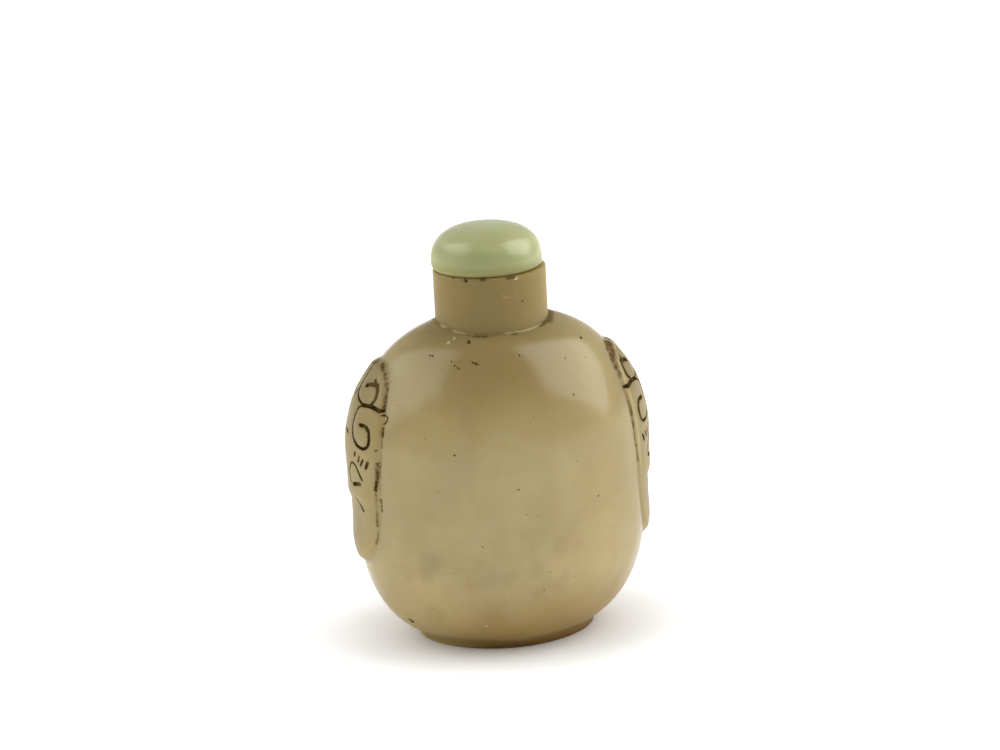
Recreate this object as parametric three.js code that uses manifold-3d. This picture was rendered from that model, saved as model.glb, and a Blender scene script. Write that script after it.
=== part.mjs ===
// A flattened stone snuff bottle with a mask carved on each narrow side, and its domed stopper.
// Millimetres, +Z up. The origin is the middle of the foot's underside, the broad faces look
// towards -Y and +Y, and the masks look towards -X and +X.
import * as THREE from "three";
import { mergeVertices } from "three/addons/utils/BufferGeometryUtils.js";
import Module from "manifold-3d";

// ---- Driving dimensions ----

const height = 57; // from the table to the lip
const body = {
  halfWidth: 22.35,
  halfDepth: 17.5,
  widest: 24.1, // height of the widest level
  roundness: 2, // exponent of the plan at the widest level: 2 is an ellipse
  endRoundness: 1.5, // the same at the two ends, where the faces run out into ridges
  shoulder: { rise: 26.1, widthCurve: 2.6, depthCurve: 2.53 },
  belly: { rise: 25.9, widthCurve: 2.82, depthCurve: 2.77 },
};
const neck = { radius: 8.5, lipChamfer: 0.35, root: 46.2 }; // the root is inside the shoulder
const foot = { halfWidth: 13.5, halfDepth: 11, roundness: 1.9, chamfer: 0.3, merges: 4 }; // inside the belly
const recess = { rim: 2.3, depth: 0.9, chamfer: 0.4 }; // the sunk underside inside the foot's rim
const hollow = { sideWall: 3.2, faceWall: 2.9, floor: 4, top: 46.5, curve: 2.4, mouthRadius: 3.4 };
const mask = {
  halfWidth: 8.4,
  widest: 26,
  rise: 18.4,
  riseCurve: 2.8,
  drop: 12.7,
  dropCurve: 2.4,
  bevel: 0.75, // width of the bevelled edge
  side: 0.3, // how proud the relief stands at the two sides, against its middle line
  root: 1.2, // how deep the mask's solid reaches into the wall
};
const stroke = { depth: 0.42, above: 0.2, halfWidth: 0.33, step: 1.3 }; // the graver's vee
const stopper = {
  radius: 8.36,
  seatRadius: 7.6,
  widest: 0.9, // above the seat
  dome: 5.65, // from the widest level to the top
  curve: 2.6,
  shift: -0.3, // it sits a little off the bottle's axis
};

const agate = new THREE.MeshStandardMaterial({ color: 0xa89b72, roughness: 0.22, metalness: 0 });
const jadeite = new THREE.MeshStandardMaterial({ color: 0xb4bd8c, roughness: 0.18, metalness: 0 });

// ---- Faceting: sides around each form, and levels up it ----

const facets = {
  body: [56, 30],
  hollow: [28, 14],
  foot: 52,
  recess: 36,
  neck: 48,
  mouth: 32,
  mask: 36,
  stopper: 36,
  stopperUnder: 3,
  stopperDome: 9,
};

// ---- Solids and booleans ----

const wasm = await Module();
wasm.setup();

// A closed geometry as a solid that can be joined and cut.
function solid(geometry) {
  const bare = geometry.index ? geometry.toNonIndexed() : geometry.clone();
  bare.deleteAttribute("normal");
  bare.deleteAttribute("uv");
  const merged = mergeVertices(bare, 1e-4);
  return new wasm.Manifold(
    new wasm.Mesh({
      numProp: 3,
      vertProperties: merged.attributes.position.array,
      triVerts: new Uint32Array(merged.index.array),
    }),
  );
}

// A closed set of triangles on listed points, as such a solid.
function solidFrom(points, faces) {
  const geometry = new THREE.BufferGeometry();
  geometry.setAttribute("position", new THREE.Float32BufferAttribute(points.flat(), 3));
  geometry.setIndex(faces.flat());
  return solid(geometry);
}

// A solid back as a geometry, flat shaded.
function geometryOf(made) {
  const mesh = made.getMesh();
  const geometry = new THREE.BufferGeometry();
  geometry.setAttribute("position", new THREE.BufferAttribute(mesh.vertProperties, mesh.numProp));
  geometry.setIndex(new THREE.BufferAttribute(mesh.triVerts, 1));
  const flat = geometry.toNonIndexed();
  flat.computeVertexNormals();
  return flat;
}

// ---- The bottle's form ----

// Superellipse: how far the curve |x|^n + |t|^n = 1 reaches at height t.
const reach = (t, n) => Math.max(0, 1 - Math.abs(t) ** n) ** (1 / n);

// The body's plan at height z: its half-width, half-depth and the exponent of its outline.
function planAt(z) {
  const part = z > body.widest ? body.shoulder : body.belly;
  const t = Math.min(1, Math.abs(z - body.widest) / part.rise);
  return {
    halfWidth: body.halfWidth * reach(t, part.widthCurve),
    halfDepth: body.halfDepth * reach(t, part.depthCurve),
    roundness: body.endRoundness + (body.roundness - body.endRoundness) * (1 - t ** 3),
  };
}

// A point of a superellipse outline, at an angle from +X.
function outlinePoint(angle, halfWidth, halfDepth, roundness) {
  const power = 2 / roundness;
  const round = (v) => Math.sign(v) * Math.abs(v) ** power;
  return [halfWidth * round(Math.cos(angle)), halfDepth * round(Math.sin(angle))];
}

// A unit sphere reshaped: each point keeps its longitude, and its height picks the plan it lies on.
function reshapedSphere([around, along], heightAt, planOf) {
  const sphere = new THREE.SphereGeometry(1, around, along).rotateX(Math.PI / 2);
  const points = sphere.attributes.position;
  for (let i = 0; i < points.count; i++) {
    const [x, y, sine] = [points.getX(i), points.getY(i), points.getZ(i)];
    const z = heightAt(Math.max(-1, Math.min(1, sine)));
    const plan = planOf(z);
    const pole = Math.hypot(x, y) < 1e-5;
    const [px, py] = pole
      ? [0, 0]
      : outlinePoint(Math.atan2(y, x), plan.halfWidth, plan.halfDepth, plan.roundness);
    points.setXYZ(i, px, py, z);
  }
  return solid(sphere);
}

const circle = (radius) => ({ halfWidth: radius, halfDepth: radius, roundness: 2 });

// An upright prism on a superellipse plan, with both rims chamfered.
function ovalBlock({ halfWidth, halfDepth, roundness }, bottom, top, chamfer, sides) {
  const lathe = new THREE.LatheGeometry(
    [
      new THREE.Vector2(0, bottom),
      new THREE.Vector2(1 - chamfer / halfWidth, bottom),
      new THREE.Vector2(1, bottom + chamfer),
      new THREE.Vector2(1, top - chamfer),
      new THREE.Vector2(1 - chamfer / halfWidth, top),
      new THREE.Vector2(0, top),
    ],
    sides,
  ).rotateX(Math.PI / 2);
  const points = lathe.attributes.position;
  for (let i = 0; i < points.count; i++) {
    const [x, y] = [points.getX(i), points.getY(i)];
    const share = Math.hypot(x, y);
    const plan = outlinePoint(Math.atan2(y, x), halfWidth, halfDepth, roundness);
    points.setXYZ(i, share * plan[0], share * plan[1], points.getZ(i));
  }
  return solid(lathe);
}

function bodySolid() {
  const { widest, shoulder, belly } = body;
  const heightAt = (sine) => widest + (sine > 0 ? shoulder.rise : belly.rise) * sine;
  return reshapedSphere(facets.body, heightAt, planAt);
}

// The space ground out inside, following the body's form, and the bore through the neck.
function hollowSolid() {
  const middle = (hollow.floor + hollow.top) / 2;
  const half = (hollow.top - hollow.floor) / 2;
  const planOf = (z) => {
    const share = reach((z - middle) / half, hollow.curve);
    return {
      halfWidth: (body.halfWidth - hollow.sideWall) * share,
      halfDepth: (body.halfDepth - hollow.faceWall) * share,
      roundness: body.roundness,
    };
  };
  const cavity = reshapedSphere(facets.hollow, (sine) => middle + half * sine, planOf);
  const boreStart = hollow.top - hollow.mouthRadius;
  return cavity.add(ovalBlock(circle(hollow.mouthRadius), boreStart, height + 1, 0.1, facets.mouth));
}

// ---- The carved masks, drawn on the +X side as (y across, z up) ----

// The body's surface in front of (y, z), as its distance from the YZ plane.
function wallAt(y, z) {
  const plan = planAt(z);
  return plan.halfWidth * reach(Math.min(1, Math.abs(y) / plan.halfDepth), plan.roundness);
}

const smooth = THREE.MathUtils.smoothstep;

// The relief along the mask's middle line: brow and cheeks, then the muzzle, then the ring below it.
function ridgeAt(z) {
  const ring = 0.5 + 0.38 * Math.exp(-(((z - 16) / 2.8) ** 2));
  const muzzle = THREE.MathUtils.lerp(ring, 0.95, smooth(z, 22.6, 24.6));
  const brow = THREE.MathUtils.lerp(muzzle, 1.42, smooth(z, 26, 33.5));
  return THREE.MathUtils.lerp(brow, 0.95, smooth(z, 37.5, 44));
}

// How far the mask stands out of the wall at (y, z), where share runs from 0 in the middle to 1 at its edge.
function reliefAt(y, z, share) {
  const crown = 1 - (1 - mask.side) * (y / mask.halfWidth) ** 2;
  const toEdge = (Math.hypot(y, z - mask.widest) * (1 - share)) / Math.max(share, 1e-6);
  const bevel = share < 0.5 ? 1 : Math.min(1, toEdge / mask.bevel);
  return ridgeAt(z) * crown * (1 - (1 - bevel) ** 2);
}

// The mask's outline, at an angle from +Y, at a share of the way out from its middle.
function maskPoint(angle, share) {
  const up = Math.sin(angle) > 0;
  const power = 2 / (up ? mask.riseCurve : mask.dropCurve);
  const across = Math.sign(Math.cos(angle)) * Math.abs(Math.cos(angle)) ** power;
  const along = (up ? mask.rise : -mask.drop) * Math.abs(Math.sin(angle)) ** power;
  return [share * mask.halfWidth * across, mask.widest + share * along];
}

// How far out (y, z) lies, from 0 at the mask's middle to 1 on its outline.
function shareAt(y, z) {
  const up = z > mask.widest;
  const curve = up ? mask.riseCurve : mask.dropCurve;
  const reachUp = up ? mask.rise : mask.drop;
  const sum = Math.abs(y / mask.halfWidth) ** curve + Math.abs((z - mask.widest) / reachUp) ** curve;
  return sum ** (1 / curve);
}

const maskSurface = (y, z) => wallAt(y, z) + reliefAt(y, z, Math.min(1, shareAt(y, z)));

// The raised field as a solid: rings of the outline from the carved front, over the edge, to the root.
function maskSolid() {
  const around = facets.mask;
  const rings = [
    { share: 0.3 },
    { share: 0.55 },
    { share: 0.74 },
    { share: 0.88 },
    { share: 1, inset: mask.bevel },
    { share: 1, inset: mask.bevel / 2 },
    { share: 1 },
    { share: 1, sink: mask.root },
    { share: 0.5, sink: mask.root },
  ];
  const at = (y, z, sink) => [sink ? wallAt(y, z) - sink : maskSurface(y, z), y, z];
  const points = [at(0, mask.widest, 0)];
  for (const { share, inset = 0, sink = 0 } of rings)
    for (let i = 0; i < around; i++) {
      const angle = (2 * Math.PI * i) / around;
      const [edgeY, edgeZ] = maskPoint(angle, 1);
      const [y, z] = maskPoint(angle, share - inset / Math.hypot(edgeY, edgeZ - mask.widest));
      points.push(at(y, z, sink));
    }
  points.push(at(0, mask.widest, mask.root));

  const faces = [];
  const ringPoint = (ring, i) => 1 + ring * around + (i % around);
  for (let i = 0; i < around; i++) {
    faces.push([0, ringPoint(0, i), ringPoint(0, i + 1)]);
    for (let ring = 0; ring < rings.length - 1; ring++) {
      const [a, b] = [ringPoint(ring, i), ringPoint(ring, i + 1)];
      const [c, d] = [ringPoint(ring + 1, i), ringPoint(ring + 1, i + 1)];
      faces.push([a, c, d], [a, d, b]);
    }
    const last = rings.length - 1;
    faces.push([points.length - 1, ringPoint(last, i + 1), ringPoint(last, i)]);
  }
  return solidFrom(points, faces);
}

// Points along part of an oval, its radii growing or shrinking evenly, in degrees from +Y.
function arc([y, z], [across, up], from, to, count, endScale = 1) {
  return Array.from({ length: count }, (_, i) => {
    const t = i / (count - 1);
    const angle = THREE.MathUtils.degToRad(from + (to - from) * t);
    const scale = 1 + (endScale - 1) * t;
    return [y + across * scale * Math.cos(angle), z + up * scale * Math.sin(angle)];
  });
}

// The incised strokes of one half of the face, each as a run of (y, z) points.
function strokes() {
  const browCurl = [[2.2, 41], ...arc([3.2, 40], [2.5, 1.8], 85, -30, 6)];
  const browDip = [[3.5, 38.3], [2.6, 38.6], [1.3, 39.4], [0.3, 40.3]];
  const earLine = [[7, 38.2], [6.2, 38.5], [4.9, 38.5]];
  const cheekCurl = [
    ...earLine,
    ...arc([3.9, 36.9], [1.5, 1.5], 110, 180, 4),
    ...arc([4.5, 34.1], [2.05, 1.95], 170, 440, 12, 0.8),
  ];
  const upperLid = [[1.5, 28.5], [2.6, 29.3], [3.6, 29.1], [5.2, 27.1]];
  const lowerLid = [[1.2, 28.2], [0.7, 27.1], [1, 26.2], [2.1, 25.9]];
  const nostril = [[2.3, 25.8], [4.6, 26.4]];
  const whisker = [[2.8, 23.6], [4.4, 22.1]];
  return [browCurl, browDip, cheekCurl, upperLid, lowerLid, nostril, whisker];
}

// A graver's channel: a vee along the line, its edge in the wall and its open side above the surface.
function channel(line) {
  const curve = new THREE.SplineCurve(line.map(([y, z]) => new THREE.Vector2(y, z)));
  const steps = Math.max(1, Math.ceil(curve.getLength() / stroke.step));
  const points = [];
  for (let i = 0; i <= steps; i++) {
    const at = curve.getPointAt(i / steps);
    const along = curve.getTangentAt(i / steps);
    for (const aside of [0, -stroke.halfWidth, stroke.halfWidth]) {
      const [y, z] = [at.x - aside * along.y, at.y + aside * along.x];
      points.push([maskSurface(y, z) + (aside ? stroke.above : -stroke.depth), y, z]);
    }
  }
  const faces = [[0, 1, 2], [3 * steps, 3 * steps + 2, 3 * steps + 1]];
  for (let i = 0; i < steps; i++)
    for (const side of [0, 1, 2]) {
      const [a, b] = [3 * i + side, 3 * i + ((side + 1) % 3)];
      faces.push([a, a + 3, b + 3], [a, b + 3, b]);
    }
  return solidFrom(points, faces);
}

// ---- The pieces ----

function bottleMesh() {
  const rim = {
    halfWidth: foot.halfWidth - recess.rim,
    halfDepth: foot.halfDepth - recess.rim,
    roundness: foot.roundness,
  };
  let made = bodySolid()
    .trimByPlane([0, 0, 1], foot.chamfer)
    .add(ovalBlock(foot, 0, foot.merges, foot.chamfer, facets.foot))
    .add(ovalBlock(circle(neck.radius), neck.root, height, neck.lipChamfer, facets.neck))
    .subtract(ovalBlock(rim, -recess.depth, recess.depth, recess.chamfer, facets.recess));
  const field = maskSolid();
  const cuts = strokes().map(channel);
  for (const turn of [0, 180]) made = made.add(field.rotate([0, 0, turn]));
  for (const cut of cuts) {
    const pair = cut.add(cut.mirror([0, 1, 0]));
    made = made.subtract(pair).subtract(pair.rotate([0, 0, 180]));
  }
  made = made.subtract(hollowSolid());
  const mesh = new THREE.Mesh(geometryOf(made), agate);
  mesh.name = "bottle";
  return mesh;
}

// A quarter oval from the seat out to the widest level, then a superellipse up to the crown.
function stopperMesh() {
  const profile = [new THREE.Vector2(0, 0)];
  for (let i = 0; i < facets.stopperUnder; i++) {
    const angle = (Math.PI / 2) * (i / facets.stopperUnder);
    const out = stopper.seatRadius + (stopper.radius - stopper.seatRadius) * Math.sin(angle);
    profile.push(new THREE.Vector2(out, stopper.widest * (1 - Math.cos(angle))));
  }
  for (let i = 0; i <= facets.stopperDome; i++) {
    const angle = (Math.PI / 2) * (i / facets.stopperDome);
    const power = 2 / stopper.curve;
    const out = i < facets.stopperDome ? stopper.radius * Math.cos(angle) ** power : 0;
    profile.push(new THREE.Vector2(out, stopper.widest + stopper.dome * Math.sin(angle) ** power));
  }
  const lathe = new THREE.LatheGeometry(profile, facets.stopper).rotateX(Math.PI / 2);
  const mesh = new THREE.Mesh(lathe, jadeite);
  mesh.name = "stopper";
  mesh.position.set(stopper.shift, 0, height);
  return mesh;
}

const snuffBottle = new THREE.Group();
snuffBottle.name = "snuff_bottle";
snuffBottle.add(bottleMesh(), stopperMesh());

export default snuffBottle;
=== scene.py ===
# %% [markdown]
# # A carved stone snuff bottle
#
# The bottle is one piece of hollowed chalcedony, flattened front to back, with a lion mask carved
# in low relief on each narrow side. A polished jade stopper lies on its lip. The solids of both
# pieces come in first as a fixed frame, so that whatever is made here lands where it should.

import math

import bpy
import numpy as np
from mathutils import Matrix, Vector


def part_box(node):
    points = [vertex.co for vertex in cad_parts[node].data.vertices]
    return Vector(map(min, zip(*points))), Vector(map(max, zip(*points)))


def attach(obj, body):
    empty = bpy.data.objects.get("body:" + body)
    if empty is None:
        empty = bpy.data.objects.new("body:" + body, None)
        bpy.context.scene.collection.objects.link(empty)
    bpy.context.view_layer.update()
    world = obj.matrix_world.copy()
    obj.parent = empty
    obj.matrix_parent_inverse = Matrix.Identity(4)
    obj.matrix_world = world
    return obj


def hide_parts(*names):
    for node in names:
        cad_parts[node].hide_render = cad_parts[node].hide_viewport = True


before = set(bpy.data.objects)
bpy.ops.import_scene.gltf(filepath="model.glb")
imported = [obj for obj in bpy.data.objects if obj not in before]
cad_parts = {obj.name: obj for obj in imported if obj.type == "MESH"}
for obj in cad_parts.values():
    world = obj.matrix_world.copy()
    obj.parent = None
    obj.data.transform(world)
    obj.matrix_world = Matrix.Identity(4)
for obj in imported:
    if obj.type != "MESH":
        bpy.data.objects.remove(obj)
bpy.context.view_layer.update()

MM = 0.001

# %% [markdown]
# ## The camera
#
# A small object is best seen from about half a metre through a long lens: near and far edges
# keep almost the same scale, and we look down on the shoulder by some sixteen degrees. The camera
# could be placed by eye and pointed with a constraint. Working out its three axes from two angles
# and a roll is shorter, and it leaves nothing live in the file.

# %% Camera
def look_from(azimuth, elevation, roll, distance, target):
    """A matrix for a camera at the given angles round the target, turned by roll about its own
    line of sight. Its columns are the camera's right, up and backward directions."""
    a, e, r = (math.radians(angle) for angle in (azimuth, elevation, roll))
    right = Vector((math.cos(a), math.sin(a), 0))
    back = Vector((math.sin(a) * math.cos(e), -math.cos(a) * math.cos(e), math.sin(e)))
    up = back.cross(right)
    turned_right = math.cos(r) * right - math.sin(r) * up
    turned_up = math.sin(r) * right + math.cos(r) * up
    place = Matrix((turned_right, turned_up, back)).transposed().to_4x4()
    place.translation = Vector(target) + back * distance
    return place


# Angles in degrees, the rest in metres.
VIEWPOINT = {
    "azimuth": -10.2, "elevation": 16.33, "roll": 2.95, "distance": 0.50831,
    "target": (0, 0, 0.031),
}
LENS = {
    "lens": 120.47, "sensor_width": 36, "shift_x": 0.0025, "shift_y": 0.0568, "clip_start": 0.01,
}

camera_data = bpy.data.cameras.new("camera")
for setting, value in LENS.items():
    setattr(camera_data, setting, value)
camera = bpy.data.objects.new("camera", camera_data)
camera.matrix_world = look_from(**VIEWPOINT)
bpy.context.scene.collection.objects.link(camera)
bpy.context.scene.camera = camera
print("camera at, mm:", [round(v * 1000) for v in camera.matrix_world.translation])

# %% [markdown]
# ## Writing a finish
#
# A node tree is sums and mixtures. Each node could be made and wired by hand, at four lines a
# node. Wrapping a socket in a small class lets us write those sums as sums, and one method makes
# every other node.

# %% Sums of sockets
class Link:
    """An output socket that takes part in arithmetic: each operator adds a Math node."""

    def __init__(self, nodes, socket):
        self.nodes, self.socket = nodes, socket

    def __add__(self, other):
        return self.nodes.maths("ADD", self, other)

    def __sub__(self, other):
        return self.nodes.maths("SUBTRACT", self, other)

    def __rsub__(self, other):
        return self.nodes.maths("SUBTRACT", other, self)

    def __mul__(self, other):
        return self.nodes.maths("MULTIPLY", self, other)

    __radd__, __rmul__ = __add__, __mul__


# %% Any node
class Nodes:
    """The node tree of a material or a world, with one method that makes any node."""

    def __init__(self, owner):
        owner.use_nodes = True
        self.tree = owner.node_tree

    def feed(self, socket, value):
        """Links a socket, or sets its own value. A colour gets its fourth number."""
        if isinstance(value, Link):
            self.tree.links.new(value.socket, socket)
        elif isinstance(value, tuple) and len(value) == 3 and socket.type == "RGBA":
            socket.default_value = (*value, 1)
        else:
            socket.default_value = value

    def node(self, kind, settings, inputs, output=0):
        """A node of any kind: its settings come first, then its sockets' values or links."""
        made = self.tree.nodes.new(kind)
        for name, value in settings.items():
            setattr(made, name, value)
        for name, value in inputs.items():
            self.feed(made.inputs[name], value)
        return Link(self, made.outputs[output])

    def maths(self, operation, *values):
        return self.node("ShaderNodeMath", {"operation": operation}, dict(enumerate(values)))

    def vectors(self, operation, *values, output=0):
        sockets = dict(enumerate(values))
        return self.node("ShaderNodeVectorMath", {"operation": operation}, sockets, output)

    def size(self, value):
        """The value without its sign."""
        return self.maths("ABSOLUTE", value)

    def greatest(self, first, *others):
        for other in others:
            first = self.maths("MAXIMUM", first, other)
        return first

    def distance(self, place, point):
        return self.vectors("DISTANCE", place, point, output="Value")

    def axis(self, vector, name):
        return self.node("ShaderNodeSeparateXYZ", {}, {0: vector}, name)

    def coordinates(self, kind):
        return self.node("ShaderNodeTexCoord", {}, {}, kind)

    def ease(self, value, low, high, start=0.0, stop=1.0):
        """A smooth step from start to stop while the value goes from low to high."""
        return self.node(
            "ShaderNodeMapRange", {"interpolation_type": "SMOOTHSTEP"},
            {"Value": value, "From Min": low, "From Max": high, "To Min": start, "To Max": stop},
        )


# %% A material's own nodes
class Finish(Nodes):
    """A material under construction. Constants go on the sockets of its first shader."""

    def __init__(self, name, **constants):
        self.material = bpy.data.materials.new(name)
        super().__init__(self.material)
        self.shader = self.tree.nodes["Principled BSDF"]
        for socket, value in constants.items():
            self.give(socket.replace("_", " "), value)

    def give(self, socket, value):
        self.feed(self.shader.inputs[socket], value)

    def place(self):
        return self.coordinates("Object")

    def place_mm(self):
        sockets = {0: self.place(), "Scale": 1 / MM}
        return self.node("ShaderNodeVectorMath", {"operation": "SCALE"}, sockets)

    def mix(self, share, first, second):
        return self.node("ShaderNodeMix", {"data_type": "RGBA"}, {0: share, 6: first, 7: second}, 2)

    def noise(self, scale, detail=3.0, roughness=0.5, stretch=(1, 1, 1), shift=(0, 0, 0)):
        mapping = {"Vector": self.place(), "Scale": stretch, "Location": shift}
        where = self.node("ShaderNodeMapping", {}, mapping)
        grain = {"Vector": where, "Scale": scale, "Detail": detail, "Roughness": roughness}
        return self.node("ShaderNodeTexNoise", {}, grain)

    def attribute(self, name):
        return self.node("ShaderNodeAttribute", {"attribute_name": name}, {}, "Fac")

    def first_shader(self):
        return Link(self, self.shader.outputs["BSDF"])

    def another_shader(self, **inputs):
        named = {name.replace("_", " "): value for name, value in inputs.items()}
        return self.node("ShaderNodeBsdfPrincipled", {}, named, "BSDF")

    def blend(self, share, first, second):
        return self.node("ShaderNodeMixShader", {}, {0: share, 1: first, 2: second})

    def show(self, shader):
        self.feed(self.tree.nodes["Material Output"].inputs["Surface"], shader)


# %% [markdown]
# ## Floor and light
#
# A white sweep lit from beneath away from the bottle, a dim room and two large soft boxes, one
# at each side. The boxes matter twice over: they light the stone, and their reflections are the
# two soft bright windows on its shoulders. A table lit only from above would have to be as bright
# as the stone's own highlights to look white, so beyond the bottle it glows a little by itself.

# %% Floor
# Where each stage of the glow begins and is complete, in metres from the bottle, and its strength.
GLOW_STAGES = [(0.008, 0.034, 0.62), (0.1, 0.6, 0.3)]
FLOOR_HALF = 4


def make_floor_finish(stages):
    """White, with a glow that grows with the distance from the bottle, stage by stage."""
    sweep = Finish("white_sweep", Base_Color=(0.9, 0.9, 0.9), Roughness=0.9, Emission_Strength=1)
    away = sweep.vectors("LENGTH", sweep.place(), output="Value")
    glow = sum(sweep.ease(away, begins, ends, 0, strength) for begins, ends, strength in stages)
    sweep.give("Emission Color", glow)
    return sweep.material


floor_mesh = bpy.data.meshes.new("floor")
corners = [(x * FLOOR_HALF, y * FLOOR_HALF, 0) for x, y in ((-1, -1), (1, -1), (1, 1), (-1, 1))]
floor_mesh.from_pydata(corners, [], [(0, 1, 2, 3)])
floor = bpy.data.objects.new("floor", floor_mesh)
floor_mesh.materials.append(make_floor_finish(GLOW_STAGES))
bpy.context.scene.collection.objects.link(floor)

# %% Soft boxes
BOX_SIDE, BOX_DISTANCE = 0.86, 0.9
BOTTLE_MIDDLE = (0, 0, 0.03)


def soft_box(name, direction, roll, radiance):
    """A square light in the given direction from the bottle's middle, facing it. A lamp's power
    is its radiance times pi times its area."""
    light = bpy.data.lights.new(name, "AREA")
    light.shape = "SQUARE"
    light.size = BOX_SIDE
    light.energy = radiance * math.pi * BOX_SIDE**2
    lamp = bpy.data.objects.new(name, light)
    lamp.matrix_world = look_from(*direction, roll, BOX_DISTANCE, BOTTLE_MIDDLE)
    bpy.context.scene.collection.objects.link(lamp)
    print(name, "gives", round(light.energy, 2), "W")


soft_box("box_right", (80, 36.5), 40, 2.65)
soft_box("box_left", (-95, 39.5), 42, 1.75)


# %% Room
def make_room(horizon, overhead, fades_at, wall):
    """A room that is bright near the floor and dim overhead: its light eases from one to the
    other with the height of each direction, where straight up is 1. A pale wall stands behind."""
    world = bpy.data.worlds.new("room")
    room = Nodes(world)
    direction = room.coordinates("Generated")
    back, up = room.axis(direction, "Y"), room.axis(direction, "Z")
    behind = room.ease(back, 0.25, 0.8, 0, wall) * room.ease(up, 0.5, 0.85, 1, 0)
    light = room.ease(up, 0, fades_at, horizon, overhead) + behind
    background = room.tree.nodes["Background"]
    room.feed(background.inputs["Strength"], light)
    room.feed(background.inputs["Color"], (1, 1, 1))
    return world


bpy.context.scene.world = make_room(horizon=0.5, overhead=0.12, fades_at=0.55, wall=0.3)
bpy.context.scene.view_settings.view_transform = "Standard"

# %% [markdown]
# ## The body's form
#
# Seen from the front the bottle is a rounded square, and from above it is a flat oval. A
# superellipse gives both with one formula: the curve where the n-th powers of the two shares add
# up to one. With n = 2 it is an ellipse, and as n grows it fills out towards a rectangle. One such
# curve says how wide the bottle is at a height, a second says how deep, and a third joins them
# into the outline at that height.

# %% Body
HEIGHT = 57.0
HALF_WIDTH, HALF_DEPTH, WIDEST = 22.35, 17.5, 24.1
SHOULDER = {"rise": 26.1, "width_curve": 2.6, "depth_curve": 2.53}
BELLY = {"rise": 25.9, "width_curve": 2.82, "depth_curve": 2.77}
NECK_RADIUS = 8.5
FOOT = {"half_width": 13.5, "half_depth": 11.0, "roundness": 1.9}
OVAL_CURVE, RIDGED_CURVE = 2.0, 1.5  # the outline's exponents at the widest level and the ends


def reach(t, n):
    """How far out a superellipse lies at height t: the n-th root of one less t to the n-th."""
    return np.maximum(0, 1 - np.abs(t) ** n) ** (1 / n)


def plan_at(z):
    """Half-width, half-depth and exponent of the body's outline at height z. The exponent falls
    with the cube of the height towards both ends, where the sides run out into soft ridges."""
    up = z > WIDEST
    t = np.minimum(1, np.abs(z - WIDEST) / np.where(up, SHOULDER["rise"], BELLY["rise"]))
    width_curve = np.where(up, SHOULDER["width_curve"], BELLY["width_curve"])
    depth_curve = np.where(up, SHOULDER["depth_curve"], BELLY["depth_curve"])
    return (
        HALF_WIDTH * reach(t, width_curve),
        HALF_DEPTH * reach(t, depth_curve),
        RIDGED_CURVE + (OVAL_CURVE - RIDGED_CURVE) * (1 - t**3),
    )


# %% [markdown]
# ## The mask
#
# The carver left a field standing on each narrow side and shaped it: high over the brow, low at
# the muzzle, with a small swelling below for the ring in the lion's mouth. It is a height above
# the wall at each point (y, z), so no separate mesh is needed and the stone stays one skin.

# %% Mask relief
MASK = {"half_width": 8.4, "widest": 26.0, "bevel": 0.75, "side": 0.3}
MASK_UP = {"reach": 18.2, "curve": 2.8}
MASK_DOWN = {"reach": 12.7, "curve": 2.4}
# Relief on the middle line, mm, and the heights between which it changes over.
RISE = {"jaw": 0.5, "ring": 0.38, "muzzle": 0.95, "brow": 1.42, "top": 0.95}
RING_MIDDLE, RING_SPREAD = 16, 2.8
CHANGES = {"muzzle": (22.6, 24.6), "brow": (26, 33.5), "top": (37.5, 44)}


def smooth(value, low, high):
    """Smoothstep: 0 below low, 1 above high, and a cubic ease between."""
    t = np.clip((value - low) / (high - low), 0, 1)
    return t * t * (3 - 2 * t)


def share_at(y, z):
    """How far out (y, z) lies, from 0 at the mask's middle to 1 on its outline: the n-th root of
    the sum of the n-th powers of its share of the half-width and its share of the reach."""
    up = z > MASK["widest"]
    curve = np.where(up, MASK_UP["curve"], MASK_DOWN["curve"])
    along = np.where(up, MASK_UP["reach"], MASK_DOWN["reach"])
    total = np.abs(y / MASK["half_width"]) ** curve + np.abs((z - MASK["widest"]) / along) ** curve
    return total ** (1 / curve)


def ridge_at(z):
    """Relief along the middle line. A bell for the ring stands on the jaw, then smoothsteps lead
    over to the muzzle, the brow and the top edge in turn."""
    height = RISE["jaw"] + RISE["ring"] * np.exp(-(((z - RING_MIDDLE) / RING_SPREAD) ** 2))
    for part, (begins, ends) in CHANGES.items():
        height = height + (RISE[part] - height) * smooth(z, begins, ends)
    return height


def inside_edge(y, z):
    """Distance in from the mask's outline, negative outside it: the distance from the mask's
    middle times what is left of the share, over the share."""
    share = np.maximum(share_at(y, z), 1e-6)
    return np.hypot(y, z - MASK["widest"]) * (1 - share) / share


def relief_at(y, z):
    """Height of the field: the ridge, falling to the sides as a parabola, rounded at its edge."""
    crown = 1 - (1 - MASK["side"]) * (y / MASK["half_width"]) ** 2
    bevel = np.clip(inside_edge(y, z) / MASK["bevel"], 0, 1)
    return ridge_at(z) * crown * (1 - (1 - bevel) ** 2)


# %% [markdown]
# ## The graver's strokes
#
# The face is drawn with a few incised lines, then mirrored. Each is a run of points joined by a
# smooth curve. What the mesh needs is the distance from every point of the skin to the nearest
# stroke: that gives the groove's depth, and the old brown dirt that sits in it.

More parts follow.
